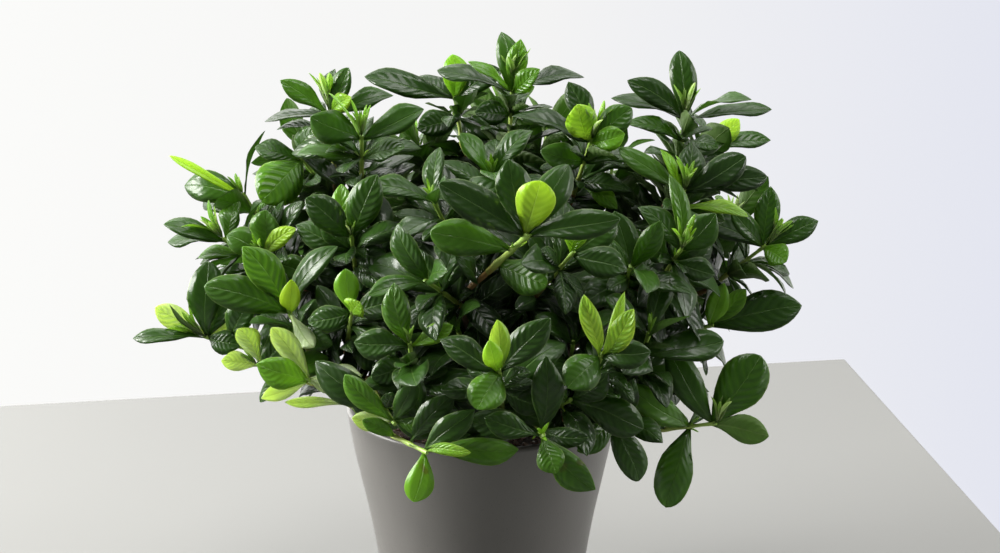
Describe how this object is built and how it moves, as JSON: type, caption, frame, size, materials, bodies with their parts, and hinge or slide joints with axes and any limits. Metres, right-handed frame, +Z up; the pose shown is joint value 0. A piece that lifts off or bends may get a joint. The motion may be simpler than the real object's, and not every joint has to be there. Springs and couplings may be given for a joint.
{
  "type": "potted gardenia",
  "caption": "Bushy young gardenia with glossy paired leaves and lime new growth, standing in a plain flared round planter.",
  "frame": {"origin": "centre of the planter's flat base, where it stands on the table or floor", "axes": "+Z up; -Y is the plant's front, its fullest side; +X to the right seen from the front, along the foliage's widest spread"},
  "size_m": [0.477, 0.4054, 0.455],
  "materials": {
    "planter": "satin",
    "potting_mix": "matte",
    "bark": "matte",
    "leaf": "satin"
  },
  "bodies": {
    "root": {"planter": "planter", "potting_mix": "potting_mix", "cane_left": "bark", "cane_front": "bark", "cane_right": "bark", "cane_crown": "bark", "cane_back": "bark", "shoot_centre_bright": "leaf", "shoot_crown_tall": "leaf", "shoot_crown_left": "leaf", "shoot_crown_right": "leaf", "shoot_right_top": "leaf", "shoot_right_top_back": "leaf", "shoot_right_mid": "leaf", "shoot_right_inner": "leaf", "shoot_right_far": "leaf", "shoot_right_broad": "leaf", "shoot_right_low": "leaf", "shoot_topleft_high": "leaf", "shoot_topleft_front": "leaf", "shoot_left_glossy": "leaf", "shoot_left_veined": "leaf", "shoot_left_thin": "leaf", "shoot_left_tuft": "leaf", "shoot_left_bend": "leaf", "shoot_left_fan": "leaf", "shoot_left_round": "leaf", "shoot_sweep_tip": "leaf", "shoot_sweep_mid": "leaf", "shoot_sweep_base": "leaf", "shoot_front_small": "leaf", "shoot_front_pair": "leaf", "shoot_front_bright": "leaf", "shoot_front_veined": "leaf", "shoot_rim_left": "leaf", "shoot_rim_right": "leaf", "shoot_rim_low_right": "leaf", "shoot_rim_far_right": "leaf", "shoot_rim_far_left": "leaf", "shoot_dome_left": "leaf", "shoot_dome_mid": "leaf", "shoot_dome_right": "leaf", "shoot_dome_low_left": "leaf", "shoot_dome_low_right": "leaf", "shoot_dome_centre": "leaf", "shoot_dome_low_front": "leaf", "shoot_crown_back": "leaf", "shoot_back_top_left": "leaf", "shoot_back_top": "leaf", "shoot_back_top_right": "leaf", "shoot_back_left_high": "leaf", "shoot_back_left_low": "leaf", "shoot_back_mid_left": "leaf", "shoot_back_mid": "leaf", "shoot_back_mid_right": "leaf", "shoot_back_right_high": "leaf", "shoot_back_right_low": "leaf", "shoot_back_low_left": "leaf", "shoot_back_low": "leaf", "shoot_back_low_right": "leaf"}
  },
  "joints": []
}
